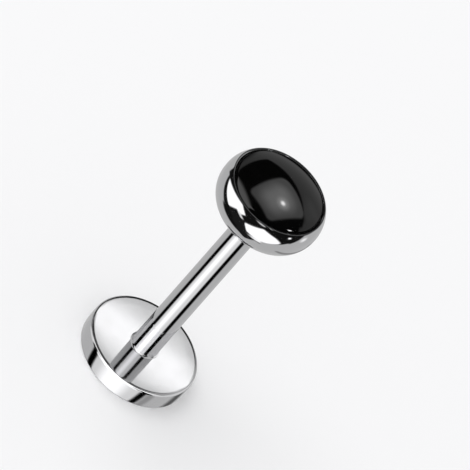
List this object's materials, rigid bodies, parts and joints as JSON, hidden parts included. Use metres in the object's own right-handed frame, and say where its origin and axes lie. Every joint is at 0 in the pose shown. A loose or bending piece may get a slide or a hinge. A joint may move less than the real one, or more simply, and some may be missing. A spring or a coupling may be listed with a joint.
{
  "type": "labret stud",
  "caption": "Push-fit labret stud: a flat round back on a straight hollow post, and a rounded bezel head with a smooth domed black stone on a pin that slides into the post.",
  "frame": {"origin": "centre of the disc's flat back face, on which the stud stands", "axes": "+Z along the post from the disc towards the head; the stud is round about Z, so +X and +Y are any two square directions in the disc's face"},
  "size_m": [0.0042, 0.0042, 0.0106],
  "materials": {
    "post_steel": "polished",
    "bezel_steel": "polished",
    "black_stone": "polished"
  },
  "bodies": {
    "post_body": {"labret_post": "post_steel"},
    "head_body": {"bezel_head": "bezel_steel", "cabochon": "black_stone"}
  },
  "joints": [
    {"name": "head_pull", "type": "slide", "parent": "post_body", "child": "head_body", "axis": [0, 0, 1], "range_m": [0, 0.0045]}
  ]
}
